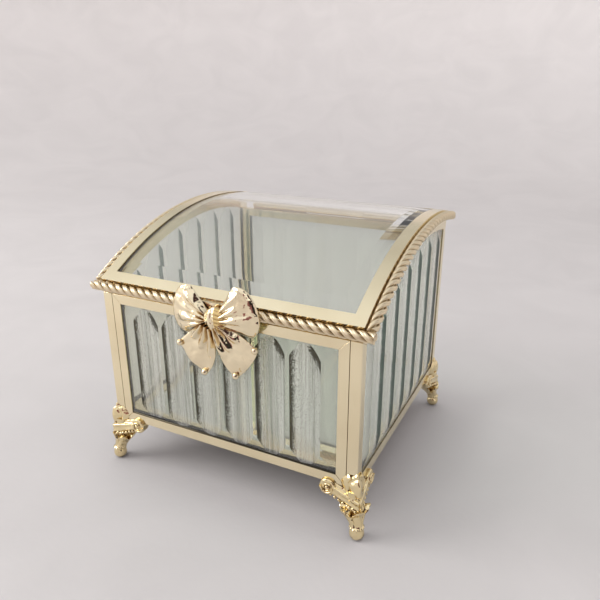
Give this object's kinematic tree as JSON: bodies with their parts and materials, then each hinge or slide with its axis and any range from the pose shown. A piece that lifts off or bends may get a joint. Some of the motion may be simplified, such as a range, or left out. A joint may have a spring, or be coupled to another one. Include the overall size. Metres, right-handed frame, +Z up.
{
  "type": "jewelry box",
  "caption": "Glass jewelry box with fluted, bevelled walls in brass channel, a hinged bent-glass lid with rope trim and a cast bow, a mirror floor and cast feet.",
  "frame": {"origin": "bottom centre of the whole object's bounding box, on the plane of the four toes", "axes": "+Z up, front (bow side) towards -Y, +X to the viewer's right, hinge along X at the back"},
  "size_m": [0.11, 0.1074, 0.0963],
  "materials": {
    "clear_glass": "polished, bevelled and fluted clear glass with a faint green edge",
    "mirror": "silvered mirror glass",
    "brass_channel": "polished pale brass plate with faint handling marks",
    "rope_wire": "polished pale brass wire",
    "cast_bow": "bright polished plate over a casting",
    "cast_feet": "bright yellower plate over a casting",
    "hinge_tube": "satin brass tube"
  },
  "bodies": {
    "case": {"back_bottom_rail": "brass_channel", "back_glass": "clear_glass", "back_left_stile": "brass_channel", "back_right_stile": "brass_channel", "back_top_rail": "brass_channel", "floor_back_rail": "brass_channel", "floor_front_rail": "brass_channel", "floor_left_rail": "brass_channel", "floor_mirror": "mirror", "floor_right_rail": "brass_channel", "foot_back_left": "cast_feet", "foot_back_right": "cast_feet", "foot_front_left": "cast_feet", "foot_front_right": "cast_feet", "front_bottom_rail": "brass_channel", "front_glass": "clear_glass", "front_left_stile": "brass_channel", "front_right_stile": "brass_channel", "front_top_rail": "brass_channel", "hinge_barrel_left": "hinge_tube", "hinge_barrel_right": "hinge_tube", "hinge_pin": "hinge_tube", "left_arch_rail": "brass_channel", "left_back_stile": "brass_channel", "left_bottom_rail": "brass_channel", "left_front_stile": "brass_channel", "left_glass": "clear_glass", "right_arch_rail": "brass_channel", "right_back_stile": "brass_channel", "right_bottom_rail": "brass_channel", "right_front_stile": "brass_channel", "right_glass": "clear_glass"},
    "lid": {"bow": "cast_bow", "hinge_barrel_middle": "hinge_tube", "lid_back_rail": "brass_channel", "lid_front_rail": "brass_channel", "lid_glass": "clear_glass", "lid_left_rail": "brass_channel", "lid_right_rail": "brass_channel", "lid_rope_front": "rope_wire", "lid_rope_front_right": "rope_wire", "lid_rope_left": "rope_wire", "lid_rope_right": "rope_wire"}
  },
  "joints": [
    {"name": "lid_hinge", "type": "hinge", "parent": "case", "child": "lid", "pos_m": [0, 0.05027, 0.0875], "axis": [-1, 0, 0], "range_deg": [0, 100]}
  ]
}
